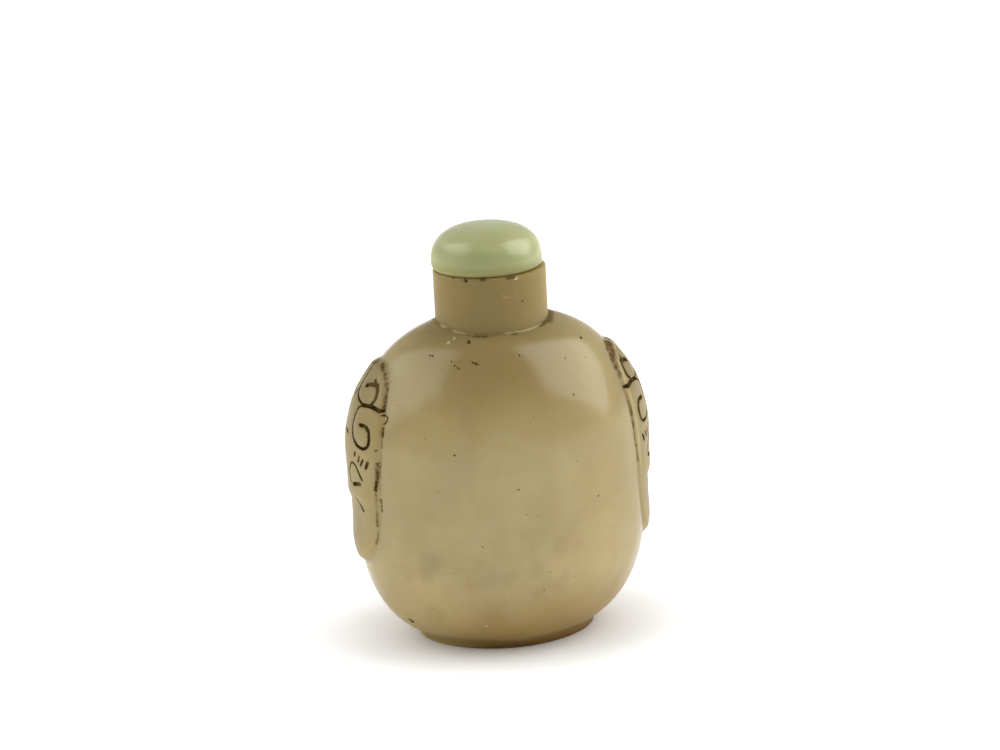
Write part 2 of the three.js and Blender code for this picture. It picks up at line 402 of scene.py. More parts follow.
# %% Strokes
def drawn(points, step=0.12):
    """A smooth curve through points: between each two, the Catmull-Rom cubic, whose slope at a
    point is half the way from the point before to the point after. The step is in mm."""
    p = np.array([points[0], *points, points[-1]], float)
    runs = []
    for a, b, c, d in zip(p[:-3], p[1:-2], p[2:-1], p[3:]):
        t = np.linspace(0, 1, max(2, int(np.hypot(*(c - b)) / step)), endpoint=False)[:, None]
        square = (2 * a - 5 * b + 4 * c - d) * t**2
        cube = (3 * b - a - 3 * c + d) * t**3
        runs.append(0.5 * (2 * b + (c - a) * t + square + cube))
    return np.vstack([*runs, p[-1:]])


FINE, FIRM, BROAD = 0.22, 0.29, 0.37  # half the width of a stroke, mm
STROKE_DEPTH = 0.24

# Points are (out from the middle line, height), mm.
BROW = [
    ([(2.5, 41.05), (3.4, 41.35), (4.6, 41.4)], BROAD), ([(3.6, 42.0), (4.3, 41.5)], FINE),
    ([(4.6, 41.4), (5.2, 40.7), (5.6, 39.6), (5.4, 38.95)], FIRM),
    ([(0.8, 40.7), (1.2, 39.8), (1.7, 39.3), (2.6, 38.85), (4.0, 38.4)], FINE),
]
CHEEK = [
    ([(6.95, 38.1), (5.8, 38.45), (4.9, 38.5), (4.0, 38.4)], BROAD),
    (
        [
            (4.0, 38.4), (3.2, 38.0), (2.8, 37.2), (2.65, 36.0), (2.75, 34.7), (3.2, 33.6),
            (3.7, 33.0),
        ],
        FINE,
    ),
    (
        [
            (3.7, 33.0), (4.35, 32.5), (5.0, 32.25), (5.8, 32.2), (6.4, 32.6), (6.6, 33.4),
            (6.4, 34.6), (6.1, 35.1),
        ],
        FIRM,
    ),
    ([(6.1, 35.1), (5.5, 35.5), (4.4, 35.55)], BROAD),
]
LASHES = [
    ([(4.0, 31.2), (3.8, 30.75)], FINE), ([(4.95, 30.75), (4.7, 30.0)], FINE),
    ([(5.7, 30.4), (5.2, 29.5)], FINE), ([(6.65, 30.2), (6.3, 29.35)], FIRM),
]
EYE = [
    ([(2.3, 29.1), (3.0, 29.45), (3.8, 29.25), (4.4, 28.6), (5.3, 27.2)], FINE),
    ([(2.3, 29.0), (1.7, 28.0), (1.6, 27.0), (2.1, 26.2)], FINE),
]
MUZZLE = [
    ([(2.9, 26.05), (3.8, 26.25), (4.7, 26.45)], BROAD), ([(3.3, 23.8), (4.7, 22.2)], FINE),
    ([(0.3, 34.05), (1.2, 33.75)], FIRM),
]
CREST = [([(0.4, 43.9), (0.6, 42.9), (0.8, 41.5), (0.75, 40.5), (0.3, 39.4)], FINE)]
STROKES = [*BROW, *CHEEK, *LASHES, *EYE, *MUZZLE, *CREST]
print("strokes on each half:", len(STROKES))


def stroke_share(y, z, wider=1.0):
    """1 on the middle of the nearest stroke, falling evenly to 0 at its edge. Distance is taken
    to the points of each curve, which lie closer together than the skin's own vertices."""
    best = np.zeros(y.shape)
    for points, half_width in STROKES:
        line = drawn(points)
        near = (
            (np.abs(y) < line[:, 0].max() + 1) & (np.abs(y) > line[:, 0].min() - 1)
            & (z < line[:, 1].max() + 1) & (z > line[:, 1].min() - 1)
        )
        away = np.hypot(np.abs(y[near])[:, None] - line[:, 0], z[near][:, None] - line[:, 1]).min(1)
        best[near] = np.maximum(best[near], 1 - away / (half_width * wider))
    return np.clip(best, 0, 1)


# %% [markdown]
# ## One skin for the bottle
#
# The whole bottle is a single grid wrapped round the axis: every row is a ring, and the rows run
# from the middle of the sunk underside, over the foot, up the belly and shoulder, up the neck,
# over the lip, down the bore and round the hollow inside. Columns stand close together over the
# masks and wide apart over the plain faces, so the carving gets the vertices.

# %% Columns and rows
SIDE_COLUMNS, FACE_COLUMNS = 62, 15
FIELD = 8.75  # half-width of the dense field, mm
FIELD_LOW, FIELD_HIGH = 13.0, 44.8

# Each column: its share of the field, its share of the face beyond it, and the signs of x and y.
quarter = [(s, 0.0) for s in np.linspace(0, 1, SIDE_COLUMNS)]
quarter += [(1.0, k) for k in np.linspace(0, 1, FACE_COLUMNS + 1)[1:]]
ring = (
    [(s, k, 1, 1) for s, k in quarter]
    + [(s, k, -1, 1) for s, k in quarter[-2::-1]]
    + [(s, k, -1, -1) for s, k in quarter[1:]]
    + [(s, k, 1, -1) for s, k in quarter[-2:0:-1]]
)
ring_share, ring_turn, sign_x, sign_y = np.array(ring, float).T
print("columns:", len(ring))


def field_at(z, half_depth):
    """Half-width of the dense field: constant over the mask, then shrinking with the body."""
    low, high = (plan_at(np.array(end))[1] for end in (FIELD_LOW, FIELD_HIGH))
    limit = np.where(z < (FIELD_LOW + FIELD_HIGH) / 2, low, high)
    return FIELD * np.minimum(1, half_depth / limit)


def body_point(z):
    """The wall at height z, for every column (the last axis of z). Within the field a column
    keeps its y. Beyond it the superellipse's own angle is shared out evenly: x and y are the
    half-width and half-depth times the cosine and sine to the power two over n."""
    half_width, half_depth, n = plan_at(z)
    field = field_at(z, half_depth)
    start = np.arcsin(np.clip((ring_share * field / np.maximum(half_depth, 1e-9)) ** (n / 2), 0, 1))
    angle = start + (math.pi / 2 - start) * ring_turn
    x = half_width * np.cos(angle) ** (2 / n)
    y = half_depth * np.sin(angle) ** (2 / n)
    return sign_x * x, sign_y * y


def height_where(inside, low, high):
    """Bisection for every column at once: the height between low and high where inside(x, y)
    changes over. It is true at high."""
    low, high = np.full(len(ring), float(low)), np.full(len(ring), float(high))
    for _ in range(40):
        middle = (low + high) / 2
        passed = inside(*body_point(middle))
        low, high = np.where(passed, low, middle), np.where(passed, middle, high)
    return (low + high) / 2


def foot_share(x, y):
    """How far out (x, y) lies on the foot's own superellipse, 1 on its edge: the n-th root of
    the sum of the n-th powers of the two shares."""
    n = FOOT["roundness"]
    return (np.abs(x / FOOT["half_width"]) ** n + np.abs(y / FOOT["half_depth"]) ** n) ** (1 / n)


body_top = WIDEST + SHOULDER["rise"]
neck_joint = height_where(lambda x, y: np.hypot(x, y) < NECK_RADIUS, FIELD_HIGH, body_top)
foot_joint = height_where(lambda x, y: foot_share(x, y) > 1, 0, FIELD_LOW)
print("shoulder meets the neck at", neck_joint.min().round(2), "to", neck_joint.max().round(2))
print("belly meets the foot at", foot_joint.min().round(2), "to", foot_joint.max().round(2))

# %% [markdown]
# The rows between foot and neck follow heights. Close rows carry the strokes, and the rest open
# out. Each row also asks the mask for its relief and the strokes for their depth.

# %% Outer wall
CARVED_LOW, CARVED_HIGH = 20.5, 42.5  # the strokes lie between
FILLET_RUN, FILLET_RISE = 0.16, 0.35  # the rounding under the neck, mm

heights = np.concatenate([
    np.linspace(FIELD_LOW, CARVED_LOW, 24, endpoint=False),
    np.linspace(CARVED_LOW, CARVED_HIGH, 165, endpoint=False),
    np.linspace(CARVED_HIGH, FIELD_HIGH, 15),
])
below = np.linspace(0, 1, 15)[:-1] ** 0.9
above = np.linspace(0, 1, 16)[1:]
shoulder_top = neck_joint - FILLET_RUN
wall_z = np.vstack([
    foot_joint + (FIELD_LOW - foot_joint) * below[:, None],
    np.repeat(heights[:, None], len(ring), 1),
    FIELD_HIGH + (shoulder_top - FIELD_HIGH) * above[:, None],
])
wall_x, wall_y = body_point(wall_z)
in_field = ring_turn == 0
relief = np.where(in_field, relief_at(wall_y, wall_z), 0)
cut = np.where(in_field, stroke_share(wall_y, wall_z), 0)
wall_x = wall_x + sign_x * (relief - STROKE_DEPTH * cut)
print("relief up to", relief.max().round(2), "mm, rows", len(wall_z))

# %% [markdown]
# Below the foot's line the rows are rings of the foot's own oval at shrinking scale, and above
# the shoulder they are circles. Inside, the hollow is a plain rounded form of its own.

# %% Underside and foot
RIM, RECESS = 2.3, 0.9  # width of the ring it stands on, and depth of the recess inside, mm


def ring_rows(x, y, steps):
    """Rows made from one ring: each step gives a scale for x, a scale for y and a height."""
    rows = [np.stack([x * sx, y * sy, np.full(len(ring), float(z))], 1) for sx, sy, z in steps]
    return np.array(rows)


foot_x, foot_y = body_point(foot_joint)
off_edge = foot_share(foot_x, foot_y)
foot_x, foot_y = foot_x / off_edge, foot_y / off_edge
rim_x, rim_y = 1 - RIM / FOOT["half_width"], 1 - RIM / FOOT["half_depth"]
foot_rows = ring_rows(foot_x, foot_y, [
    *[(s * rim_x, s * rim_y, RECESS) for s in (0.001, 0.3, 0.6, 0.85, 0.955)],
    (rim_x * 0.965, rim_y * 0.958, RECESS - 0.02),
    (rim_x, rim_y, RECESS - 0.4),
    (rim_x, rim_y, 0.08), (rim_x * 1.005, rim_y * 1.006, 0.0),
    (0.965, 0.958, 0.0), (0.981, 0.976, 0.03), (0.995, 0.993, 0.14), (1, 1, 0.3),
])


# %% Neck and lip
def corner_rows(before, corner, after, steps):
    """Rows that round a corner: the quadratic curve from one ring to another, pulled towards a
    third ring between them. The weights are the square of 1 - t, twice t(1 - t), and t squared."""
    t = steps[:, None, None]
    return (1 - t) ** 2 * before + 2 * t * (1 - t) * corner + t**2 * after


neck_x, neck_y = body_point(neck_joint)
turn = np.arctan2(neck_y, neck_x)
circle_x, circle_y = np.cos(turn), np.sin(turn)
corner = np.stack([NECK_RADIUS * circle_x, NECK_RADIUS * circle_y, neck_joint], 1)
before = np.stack([wall_x[-1], wall_y[-1], wall_z[-1]], 1)
after = corner + [0, 0, FILLET_RISE]
joint_rows = corner_rows(before, corner, after, np.array([0.25, 0.5, 0.75, 1.0]))
up = np.array([0.06, 0.2, 0.4, 0.6, 0.8, 0.94])[:, None]
LIP_EDGE = 0.35  # height of the lip's rounded edge, mm
neck_rows = np.stack([
    np.broadcast_to(NECK_RADIUS * circle_x, (len(up), len(ring))),
    np.broadcast_to(NECK_RADIUS * circle_y, (len(up), len(ring))),
    after[:, 2] + (HEIGHT - LIP_EDGE - after[:, 2]) * up,
], 2)
BORE = 3.4
# Radius, and depth below the lip, from the outer edge over the top and down the bore.
lip_profile = [
    (NECK_RADIUS, LIP_EDGE), (NECK_RADIUS - 0.03, 0.2), (NECK_RADIUS - 0.12, 0.07),
    (NECK_RADIUS - 0.3, 0), (BORE + 0.25, 0), (BORE + 0.05, 0.08), (BORE, 0.3), (BORE, 7),
]
lip_rows = ring_rows(circle_x, circle_y, [(r, r, HEIGHT - down) for r, down in lip_profile])

# %% Hollow
HOLLOW = {"half_width": 19.15, "half_depth": 14.6, "middle": 25.25, "half": 21.25, "curve": 2.4}
hollow_turn = np.arctan2(circle_y / HOLLOW["half_depth"], circle_x / HOLLOW["half_width"])
oval_x = HOLLOW["half_width"] * np.cos(hollow_turn)
oval_y = HOLLOW["half_depth"] * np.sin(hollow_turn)
start = BORE / np.hypot(oval_x, oval_y)  # the share of the oval where the bore opens into it
fall = np.linspace(0, 1, 20)[:-1, None]
first = np.arccos(np.clip(start ** (HOLLOW["curve"] / 2), 0, 1))
slope = first + (-math.pi / 2 - first) * fall
share = np.cos(slope) ** (2 / HOLLOW["curve"])
drop = np.sign(np.sin(slope)) * np.abs(np.sin(slope)) ** (2 / HOLLOW["curve"])
hollow_z = HOLLOW["middle"] + HOLLOW["half"] * drop
hollow_rows = np.stack([oval_x * share, oval_y * share, hollow_z], 2)
hollow_floor = HOLLOW["middle"] - HOLLOW["half"]

skin = np.concatenate([
    foot_rows, np.stack([wall_x, wall_y, wall_z], 2), joint_rows, neck_rows, lip_rows, hollow_rows,
])
wall_start = len(foot_rows)
joint_start = wall_start + len(wall_z)
print("rows:", len(skin), "triangles about", 2 * len(skin) * len(ring))

# %% [markdown]
# The rings become one closed mesh. A modelling modifier could skin them, but a list of faces
# written from row and column numbers is exact and quick. The finished form is then held against
# its solid's box, so that no edge of it stands out further.


# %% Mesh from rings
def close_rings(name, rows, bottom, top):
    """A closed mesh from rings of points, in millimetres: four-sided faces between neighbouring
    rings, and a fan of triangles to a single point at each end. Rings run anticlockwise."""
    count, around = rows.shape[:2]
    points = np.vstack([rows.reshape(-1, 3), [bottom], [top]]) * MM
    i, j = np.meshgrid(np.arange(count - 1), np.arange(around), indexing="ij")
    k = (j + 1) % around
    lower, upper = i * around, (i + 1) * around
    quads = np.stack([lower + j, lower + k, upper + k, upper + j], 2)
    j, k = np.arange(around), (np.arange(around) + 1) % around
    last = (count - 1) * around
    low_fan = np.stack([np.full(around, count * around), k, j], 1)
    high_fan = np.stack([np.full(around, count * around + 1), last + j, last + k], 1)
    faces = [*quads.reshape(-1, 4).tolist(), *low_fan.tolist(), *high_fan.tolist()]
    mesh = bpy.data.meshes.new(name)
    mesh.from_pydata(points.tolist(), [], faces)
    mesh.shade_smooth()
    made = bpy.data.objects.new(name, mesh)
    bpy.context.scene.collection.objects.link(made)
    print(name, "vertices", len(mesh.vertices), "faces", len(mesh.polygons))
    return made


def keep_inside(rows, node):
    """Draws the rows in, about the upright axis, where they would leave a node's box."""
    low, high = (np.array(corner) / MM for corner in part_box(node))
    middle, half = (low + high) / 2, (high - low) / 2
    largest = np.abs(rows - middle).max((0, 1))
    scale = np.minimum(1, half / largest)
    scale[2] = 1
    print(node, "scaled by", scale.round(4))
    return middle * [1, 1, 0] + (rows - middle * [1, 1, 0]) * scale


skin_end = (0, 0, hollow_floor)
bottle = close_rings("carved_bottle", keep_inside(skin, "bottle"), (0, 0, RECESS), skin_end)
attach(bottle, "root")
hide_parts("bottle")


# %% [markdown]
# ## Where the dirt lies
#
# The finish needs to know where it is on the carving. A few numbers go onto the vertices: how deep
# in a stroke, how near one, how near the mask's edge, how near the crease under the neck, where a
# painted highlight lies on the ledge above it and along the right mask's bevel, and which rows
# belong to the lip, the neck and the foot. They could be painted by hand. Working them out from the
# same curves keeps the dirt in its grooves. The two masks were handled and soiled unequally, and
# the grime thins out downwards.


# %% Numbers on the vertices
def rows_of(start, values):
    """Values of some rows, laid into an array for the whole skin."""
    whole = np.zeros(skin.shape[:2])
    whole[start:start + len(values)] = values
    return whole


def mark(name, start, values):
    """One number per vertex, for the material to read: some rows' values, and 0 elsewhere. The
    two end points come last."""
    layer = bottle.data.attributes.new(name, "FLOAT", "POINT")
    whole = np.concatenate([rows_of(start, values).ravel(), [0, 0]])
    layer.data.foreach_set("value", whole.astype(np.float32))


# %% Lines of grime
# Along the mask's edge: points (forward, up) and half-width in mm, then how brown it is and how
# thick the dark flecks lie, both from 0 to 1.
OUTLINE = [
    (1.8, 44.0), (3.1, 43.5), (4.2, 42.9), (5.2, 42.1), (6.1, 40.9), (6.8, 39.4), (7.3, 38.0),
    (7.7, 36.0), (7.95, 34.2), (8.2, 32.1), (8.4, 29.8), (8.4, 26.0), (8.35, 23.0),
]
GRIME_LEFT = [
    (OUTLINE[:2], 0.17, 1, 0.9), (OUTLINE[1:7], 0.15, 0.95, 0.95),
    ([(4.5, 42.4), (5.4, 41.4), (6.0, 40.5), (6.5, 39.6)], 0.11, 0.35, 0.3),
    ([(7.35, 37.5), (7.9, 37.4), (8.1, 36.85), (7.85, 36.3)], 0.17, 1, 1),
    ([(7.95, 35.7), (8.05, 35.0), (8.15, 34.4)], 0.24, 0.8, 1),
    ([(8.15, 34.0), (8.35, 32.8)], 0.17, 0.8, 0.8),
    ([(7.85, 32.35), (7.8, 32.2)], 0.17, 1, 1), ([(8.35, 31.75), (8.4, 29.8)], 0.15, 0.6, 0.7),
    ([(8.1, 30.3), (8.1, 28.6), (7.95, 27.2), (7.8, 26.2)], 0.42, 0.75, 0.93),
    ([(8.4, 31), (8.4, 26)], 0.25, 0.45, 0.5), ([(8.38, 24.9), (8.38, 23.0)], 0.22, 0.6, 1),
    ([(7.8, 25.6), (7.65, 23.0), (7.5, 20.5)], 0.35, 0.6, 0.55),
    ([(7.45, 19.6), (7.2, 18.5), (6.7, 17.4)], 0.17, 0.75, 0.5),
]
GRIME_RIGHT = [
    (OUTLINE[:3], 0.48, 0.88, 0.3), (OUTLINE[2:4], 0.4, 0.82, 0.25),
    (OUTLINE[3:5], 0.3, 0.78, 0.2), (OUTLINE[4:6], 0.24, 0.8, 0.2),
    (OUTLINE[5:8], 0.13, 0.62, 0.2), (OUTLINE[7:11], 0.16, 0.75, 0.6),
    ([(8.35, 29.4), (8.3, 28.0), (8.2, 26.7)], 0.22, 0.8, 0.4), (OUTLINE[10:], 0.2, 0.35, 0.2),
]


def grime(side, lines):
    """Brownness and fleck thickness along some lines of one side: a bell curve of the distance
    from the nearest point of each, times its strength. The greatest of them counts."""
    found = np.zeros((2, *wall_y.shape))
    here = np.where(in_field & (sign_x == side))[0]
    y, z = np.abs(wall_y[:, here]), wall_z[:, here]
    for points, half_width, *strengths in lines:
        line = drawn(points)
        away = np.min([np.hypot(y - a, z - b) for a, b in line], 0)
        bell = np.exp(-((away / half_width) ** 2))
        for layer, strength in zip(found, strengths):
            layer[:, here] = np.maximum(layer[:, here], strength * bell)
    return found


brownness, flecks = grime(-1, GRIME_LEFT) + grime(1, GRIME_RIGHT)
inward = inside_edge(wall_y, wall_z)
on_mask = np.where(in_field, smooth(inward, -0.3, 0.5), 0)
# A painted highlight along the bevel just inside the mask's edge, above the muzzle, right mask
# only.
painted_bevel_highlight = np.exp(-(((inward - 0.55) / 0.25) ** 2)) * smooth(wall_z, 22, 30)
mark("cut", wall_start, cut)
mark("halo", wall_start, np.where(in_field, stroke_share(wall_y, wall_z, 2.4), 0))
mark("edge", wall_start, brownness)
mark("flecks", wall_start, flecks)
mark("mask", wall_start, on_mask)
mark("bevel_highlight", wall_start, np.where(in_field & (sign_x > 0), painted_bevel_highlight, 0))

# %% Round the neck
# Degrees from straight ahead: where a painted highlight lies on the ledge, and where dirt sits.
LEDGE_SPANS = [(-74, -30), (2, 48), (118, 150), (-165, -130)]
CREASE_SPANS = [(-31, -13), (7, 17), (42, 60), (95, 120), (165, 200), (-120, -95)]
STAIN_LOW, STAIN_HIGH = [(56, 92)], [(50, 92)]  # on the shoulder, and on the neck above it


def along(spans):
    """1 for the columns whose bearing lies in one of the spans, easing off over six degrees."""
    bearing = np.degrees(np.arctan2(circle_x, -circle_y))
    total = np.zeros(len(ring))
    for low, high in spans:
        for b in (bearing, bearing + 360):
            inside = smooth(b, low - 3, low + 3) * smooth(-b, -high - 3, -high + 3)
            total = np.maximum(total, inside)
    return total


crease_start = joint_start - 1
lip_start = joint_start + len(joint_rows) + len(neck_rows)


def levels(share, *strengths):
    """The same few strengths for every column, times its share: one row for each, from just
    below the crease."""
    return np.array(strengths)[:, None] * share


mark("crease", crease_start, levels(along(CREASE_SPANS), 0.9, 1.0, 0.6))
# The ledge's pale band is a painted highlight.
mark("ledge_highlight", crease_start, levels(along(LEDGE_SPANS), 0.0, 0.1, 1.0, 0.6))
near_neck = smooth(-np.hypot(wall_x, wall_y), -10.2, -9.0)
low_stain = rows_of(wall_start, near_neck * along(STAIN_LOW))
high_stain = rows_of(crease_start, levels(along(STAIN_HIGH), 0.0, 1.0, 1.0, 0.5))
mark("stain", 0, low_stain + high_stain)
mark("joint", crease_start, levels(np.ones(len(ring)), 0.6, 1.0, 1.0, 1.0, 1.0))
mark("lip", lip_start, np.ones((4, len(ring))))
mark("neck", joint_start, np.ones((len(skin) - joint_start, len(ring))))
mark("foot", 0, np.ones((wall_start, len(ring))))
print("marks:", [layer.name for layer in bottle.data.attributes if layer.data_type == "FLOAT"])

# %% [markdown]
# ## The stopper
#
# A turned and polished dome of pale jade: a quarter oval from its seat to its widest level, then
# a superellipse to the crown. It lies loose on the lip, a little off the axis.

# %% Stopper
STOPPER = {"radius": 8.36, "seat": 7.6, "widest": 0.9, "dome": 5.65, "curve": 2.6, "shift": -0.3}
under = np.linspace(0, math.pi / 2, 8)[:-1]
over = np.linspace(0, math.pi / 2, 40)[:-1]
profile_r = np.concatenate([
    [0.01, 5, 7.3],  # the flat underside
    STOPPER["seat"] + (STOPPER["radius"] - STOPPER["seat"]) * np.sin(under),
    STOPPER["radius"] * np.cos(over) ** (2 / STOPPER["curve"]),
])
profile_z = np.concatenate([
    [0, 0, 0],
    STOPPER["widest"] * (1 - np.cos(under)),
    STOPPER["widest"] + STOPPER["dome"] * np.sin(over) ** (2 / STOPPER["curve"]),
])
around = np.linspace(0, 2 * math.pi, 96, endpoint=False)
dome = np.stack([
    STOPPER["shift"] + profile_r[:, None] * np.cos(around),
    profile_r[:, None] * np.sin(around),
    HEIGHT + profile_z[:, None] + 0 * around,
], 2)
seat_point = (STOPPER["shift"], 0, HEIGHT)
crown_point = (STOPPER["shift"], 0, HEIGHT + STOPPER["widest"] + STOPPER["dome"])
stopper = close_rings("jade_stopper", keep_inside(dome, "stopper"), seat_point, crown_point)
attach(stopper, "root")
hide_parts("stopper")


# %% [markdown]
# ## Chalcedony
#
# Grey-brown, polished and slightly milky: light goes in, scatters and comes out again. A plain
# colour under a gloss would look like paint. Scattering below the skin gives the milk, and layers
# of colour over it follow the handling and the dirt. Painted shade darkens the upper middle, the
# bottom, the ends, the right side and the foot, and painted highlights lie on the ledge under the
# neck and along the right mask's bevel.

# %% Colours of the stone
# Red, green and blue, each as a share of the light that comes back.
STONE = {
    "pale": (0.48, 0.385, 0.175), "milky": (0.43, 0.335, 0.145), "mottle": (0.33, 0.24, 0.09),
    "bloom": (0.27, 0.2, 0.085), "shaded_upper_middle": (0.32, 0.225, 0.08), "low": (0.275, 0.165, 0.042),
    "ends": (0.33, 0.25, 0.1), "handled_and_shaded": (0.26, 0.205, 0.1), "neck": (0.275, 0.2, 0.07),
    "foot right": (0.17, 0.07, 0.006), "foot left": (0.37, 0.245, 0.08),
}
# Chips and the bruise are wear; the ledge and edge colours are painted highlights.
WEAR_AND_HIGHLIGHTS = {
    "chip": (0.75, 0.66, 0.42), "ledge_highlight": (0.66, 0.56, 0.31), "edge": (0.6, 0.49, 0.26),
    "bruise": (0.6, 0.5, 0.28),
}
DIRT = {
    "halo": (0.21, 0.14, 0.05), "grime": (0.11, 0.056, 0.009), "crease": (0.12, 0.072, 0.018),
    "stain": (0.14, 0.085, 0.022), "brown": (0.062, 0.037, 0.01), "black": (0.028, 0.016, 0.004),
}
STONE_SCATTER = {
    "Subsurface_Weight": 1.0, "Subsurface_Radius": (1.0, 0.8, 0.5), "Subsurface_Scale": 0.007,
}
# Soft grey-brown clouds: centre and reach, mm.
BLOOMS = [
    ((-5.2, -16.4, 13.1), 2.6), ((-13.6, -13.4, 15.5), 2.8), ((-4.9, -14.4, 6.6), 3.0),
    ((1.7, -17.0, 14.5), 2.6),
]


# %% The clean stone
def clean_colour(stone, mm, x, y, z):
    """Pale and milky with browner clouds, and painted shade on the upper middle, the bottom and the
    ends.
    """
    cloud = stone.ease(stone.noise(85, 4, 0.55, shift=(0.3, 0.1, 0.7)), 0.35, 0.68)
    mottle = stone.ease(stone.noise(230, 3, 0.5, shift=(0.2, 0.5, 0.1)), 0.48, 0.7)
    base = stone.mix(cloud, STONE["pale"], STONE["milky"])
    base = stone.mix(mottle * stone.ease(z, 26, 14) * 0.35, base, STONE["mottle"])
    for centre, far in BLOOMS:
        away = stone.distance(mm, centre) + 3 * stone.noise(420, 2, shift=(0.4, 0.4, 0.1)) - 1.5
        base = stone.mix(stone.ease(away, far, far * 0.2) * 0.26, base, STONE["bloom"])
    # Painted shade: browner and darker over the upper middle of both faces, below the neck.
    shaded_upper_middle = stone.ease(stone.size(x + 2), 15, 3) * stone.ease(z, 33, 46)
    base = stone.mix(shaded_upper_middle * 0.75, base, STONE["shaded_upper_middle"])
    # Painted shade: darker and browner towards the bottom, less so on the left.
    low = stone.ease(z, 14, 0.5) * stone.ease(x, -13, -5, 0.5, 0.85)
    base = stone.mix(low, base, STONE["low"])
    # Painted shade: darker towards both ends, more on the right.
    ends = stone.ease(stone.size(x + 0.5), 13, 21) * stone.ease(x, -1, 1, 0.3, 0.5)
    return stone.mix(ends, base, STONE["ends"])


def handled_and_shaded_colour(stone, base, x, y):
    """The carving, greyer along its middle and in painted shade on the right, then the neck, and
    the foot in painted shade.
    """
    # The mask is greyer along its middle; the extra share on the right is painted shade.
    greyed_and_shaded = stone.ease(stone.size(y), 6.5, 0.5, 0.3, 0.85) + stone.ease(x, -1, 1, 0, 0.35)
    base = stone.mix(stone.attribute("mask") * greyed_and_shaded, base, STONE["handled_and_shaded"])
    base = stone.mix(stone.attribute("neck"), base, STONE["neck"])
    # Painted shade: the foot darkened, darkest on the right.
    foot = stone.mix(stone.ease(x, -3, -11), STONE["foot right"], STONE["foot left"])
    return stone.mix(stone.attribute("foot") * 0.9, base, foot)


# %% [markdown]
# The front has a few open pits, some fresh chips and a bruise. They are too small to model, so
# each is a round spot of colour whose edge a fine noise makes ragged. Neighbours join into dashes.

# %% Pits and chips
# Across, up and radius, mm, on the front face.
PITS = [
    (-10.9, 45.95, 0.14), (-10.5, 45.9, 0.17), (-8.1, 45.4, 0.15), (-7.8, 44.95, 0.18),
    (-7.45, 44.65, 0.18), (-7.2, 44.45, 0.15), (-5.6, 45.5, 0.13), (-5.15, 45.3, 0.2),
    (-4.75, 45.2, 0.24), (-4.4, 45.05, 0.16), (-5.1, 47.7, 0.24), (1.75, 45.8, 0.16),
    (12.4, 46.0, 0.22), (8.9, 44.4, 0.18), (-9.4, 32.7, 0.22), (9.2, 39.5, 0.16),
    (-16.0, 4.5, 0.26), (-15.6, 4.1, 0.3), (-0.5, 27.0, 0.18), (0.6, 23.0, 0.14),
    (2.9, 10.6, 0.14), (-6.1, 18.5, 0.14), (12.0, 23.9, 0.16), (-4.8, 56.7, 0.3),
    (3.4, 53.0, 0.16), (-6.4, 56.9, 0.16),
]
CHIPS = [
    (-6.95, 48.03, 0.15), (-7.2, 47.9, 0.11), (-7.75, 47.6, 0.13), (-7.95, 47.5, 0.12),
    (2.5, 56.65, 0.26), (-5.5, 4.8, 0.14),
]
BRUISE = {"at": (1.3, 0, 55.2), "radius": 1.35}


def ragged_front(stone, mm):
    """The place seen from straight ahead, in mm, pushed about by a fine noise."""
    grain = {"Vector": stone.place(), "Scale": 2200.0}
    noise = stone.node("ShaderNodeTexNoise", {}, grain, "Color")
    pushed = stone.vectors("MULTIPLY_ADD", noise, (0.7, 0, 0.5), mm)
    return stone.vectors("MULTIPLY_ADD", pushed, (1, 0, 1), (-0.35, 0, -0.25))


def spots(stone, front, places):
    """1 inside any of the places and 0 outside: the greatest of one smooth step for each."""
    return stone.greatest(*[
        stone.ease(stone.distance(front, (across, 0, up)), radius * 1.15, radius * 0.5)
        for across, up, radius in places
    ])


def bruise(stone, front, z):
    """The lower part of a fine ring: how near the distance from its middle is to its radius."""
    off_ring = stone.size(stone.distance(front, BRUISE["at"]) - BRUISE["radius"])
    return stone.ease(off_ring, 0.22, 0.04) * stone.ease(z, 55.4, 54.2)


# %% [markdown]
# Three shaders make the skin. Where a polisher's wheel reached, it shines. The carving, neck and
# foot stayed matt. Black-brown dirt lies on top and doesn't shine at all. One shader with a
# varying roughness would still catch light at its rim, so their shares are mixed instead.

